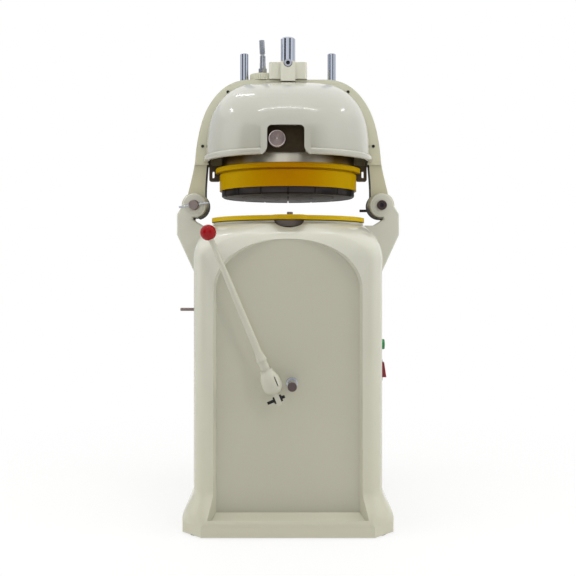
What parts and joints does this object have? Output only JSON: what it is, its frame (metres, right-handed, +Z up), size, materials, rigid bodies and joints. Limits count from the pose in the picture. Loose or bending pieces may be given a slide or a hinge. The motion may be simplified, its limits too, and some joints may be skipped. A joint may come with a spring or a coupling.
{
  "type": "dough divider rounder",
  "caption": "Floor-standing dough divider rounder: cabinet with an orbiting rounding plate under a tilting head that presses and cuts the dough, worked by a front lever.",
  "frame": {"origin": "on the floor under the drive's vertical axis, which is the middle of the footprint", "axes": "+Z up, -Y towards the front with the lever, +X to the right hand of someone who faces the front"},
  "size_m": [0.647, 0.7076, 1.392],
  "materials": {
    "cream_paint": "semi-gloss enamel",
    "gloss_cream": "high gloss enamel",
    "grey_panel": "satin paint",
    "yellow_paint": "gloss enamel",
    "yellow_board": "satin moulded",
    "chrome": "hard chrome, ground",
    "turned_steel": "turned",
    "dark_steel": "black oxide",
    "zinc_steel": "zinc plated",
    "blade_steel": "ground",
    "press_steel": "worn, dull",
    "cast_iron": "as cast, oiled",
    "motor_paint": "machine enamel",
    "black_rubber": "matte",
    "red_ball": "gloss moulded",
    "red_switch": "gloss moulded",
    "green_button": "gloss moulded",
    "black_plastic": "satin moulded"
  },
  "bodies": {
    "frame": {"base_plate": "grey_panel", "feet": "black_rubber", "cabinet_shell": "cream_paint", "rear_panel": "grey_panel", "rear_panel_screws": "zinc_steel", "left_arm": "cream_paint", "right_arm": "cream_paint", "arm_bolts": "dark_steel", "hinge_pin": "dark_steel", "hinge_washer": "turned_steel", "hinge_stop_bolt": "dark_steel", "drive_deck": "grey_panel", "drive_bearings": "cast_iron", "motor": "motor_paint", "drive_belt": "black_rubber", "oil_tank": "grey_panel", "hydraulic_pump": "motor_paint", "rotary_valve": "motor_paint", "stop_post": "chrome", "stop_buffer": "black_rubber", "side_peg": "chrome", "button_bezel": "black_plastic", "switch_housing": "black_plastic", "cable_gland": "black_plastic"},
    "head": {"head_yoke": "cream_paint", "front_cover": "gloss_cream", "rear_hood": "gloss_cream", "cover_screws": "zinc_steel", "spindle_block": "cream_paint", "clamp_screw": "dark_steel", "press_cylinder": "cast_iron", "knob_bracket": "cast_iron"},
    "carrier": {"carrier_plate": "turned_steel", "spindle": "chrome", "guide_posts": "chrome", "casing_ring": "yellow_paint", "ring_hangers": "turned_steel", "knife_grid": "blade_steel"},
    "press_plate": {"press_segments": "press_steel", "press_spider": "press_steel"},
    "crank": {"crank_shaft": "turned_steel", "driven_pulley": "cast_iron"},
    "table": {"table": "cast_iron"},
    "rounding_plate": {"rounding_plate": "yellow_board", "plate_stud": "chrome"},
    "left_idler": {"left_idler_crank": "turned_steel"},
    "right_idler": {"right_idler_crank": "turned_steel"},
    "motor_rotor": {"motor_pulley": "cast_iron"},
    "lever": {"lever_shaft": "turned_steel", "lever_hub": "cream_paint", "lever_rod": "cream_paint", "ball_knob": "red_ball", "adjusting_bolt": "dark_steel"},
    "lock_screw": {"lock_screw": "turned_steel"},
    "tommy_bar": {"tommy_bar": "chrome"},
    "start_button": {"start_button": "green_button"},
    "main_switch": {"main_switch": "red_switch"},
    "window_knob": {"window_knob": "turned_steel"},
    "adjuster_stem": {"adjuster_stem": "chrome"},
    "adjuster_handle": {"adjuster_handle": "chrome"}
  },
  "joints": [
    {"name": "head_tilt", "type": "hinge", "parent": "frame", "child": "head", "pos_m": [0.2725, 0, 0.893], "axis": [0, 1, 0], "range_deg": [0, 75]},
    {"name": "press_stroke", "type": "slide", "parent": "head", "child": "carrier", "axis": [0, 0, 1], "range_m": [-0.08, 0]},
    {"name": "plate_float", "type": "slide", "parent": "carrier", "child": "press_plate", "axis": [0, 0, 1], "range_m": [0, 0.03]},
    {"name": "crank_spin", "type": "hinge", "parent": "frame", "child": "crank", "pos_m": [0, 0, 0.7], "axis": [0, 0, 1], "continuous": true},
    {"name": "table_orbit", "type": "hinge", "parent": "crank", "child": "table", "pos_m": [0, -0.012, 0.8], "axis": [0, 0, 1], "continuous": true},
    {"name": "left_idler_spin", "type": "hinge", "parent": "frame", "child": "left_idler", "pos_m": [-0.15, 0, 0.75], "axis": [0, 0, 1], "continuous": true},
    {"name": "right_idler_spin", "type": "hinge", "parent": "frame", "child": "right_idler", "pos_m": [0.15, 0, 0.75], "axis": [0, 0, 1], "continuous": true},
    {"name": "motor_spin", "type": "hinge", "parent": "frame", "child": "motor_rotor", "pos_m": [0, 0.17, 0.7], "axis": [0, 0, 1], "continuous": true},
    {"name": "plate_slide", "type": "slide", "parent": "table", "child": "rounding_plate", "axis": [0, -1, 0], "range_m": [0, 0.22]},
    {"name": "lever_swing", "type": "hinge", "parent": "frame", "child": "lever", "pos_m": [-0.044, -0.33, 0.414], "axis": [0, 1, 0], "range_deg": [-22, 60]},
    {"name": "lock_release", "type": "slide", "parent": "frame", "child": "lock_screw", "axis": [0, -1, 0], "range_m": [0, 0.105]},
    {"name": "tommy_slide", "type": "slide", "parent": "lock_screw", "child": "tommy_bar", "axis": [0.9888, 0, 0.1495], "range_m": [-0.028, 0.028]},
    {"name": "button_press", "type": "slide", "parent": "frame", "child": "start_button", "axis": [-1, 0, 0], "range_m": [0, 0.003], "stiffness_N_per_m": 400},
    {"name": "switch_rock", "type": "hinge", "parent": "frame", "child": "main_switch", "pos_m": [0.248, -0.205, 0.434], "axis": [0, 1, 0], "range_deg": [0, 9]},
    {"name": "knob_pull", "type": "slide", "parent": "head", "child": "window_knob", "axis": [0, -1, 0], "range_m": [0, 0.012], "stiffness_N_per_m": 400},
    {"name": "adjuster_turn", "type": "hinge", "parent": "head", "child": "adjuster_stem", "pos_m": [-0.075, 0, 1.29], "axis": [0, 0, 1], "continuous": true},
    {"name": "handle_fold", "type": "hinge", "parent": "adjuster_stem", "child": "adjuster_handle", "pos_m": [-0.075, 0, 1.33], "axis": [0, 1, 0], "range_deg": [-35, 35]}
  ],
  "couplings": [
    {"joint": "plate_float", "follows": "press_stroke", "ratio": -0.375},
    {"joint": "table_orbit", "follows": "crank_spin", "ratio": -1},
    {"joint": "left_idler_spin", "follows": "crank_spin", "ratio": 1},
    {"joint": "right_idler_spin", "follows": "crank_spin", "ratio": 1},
    {"joint": "motor_spin", "follows": "crank_spin", "ratio": 3.2662}
  ]
}
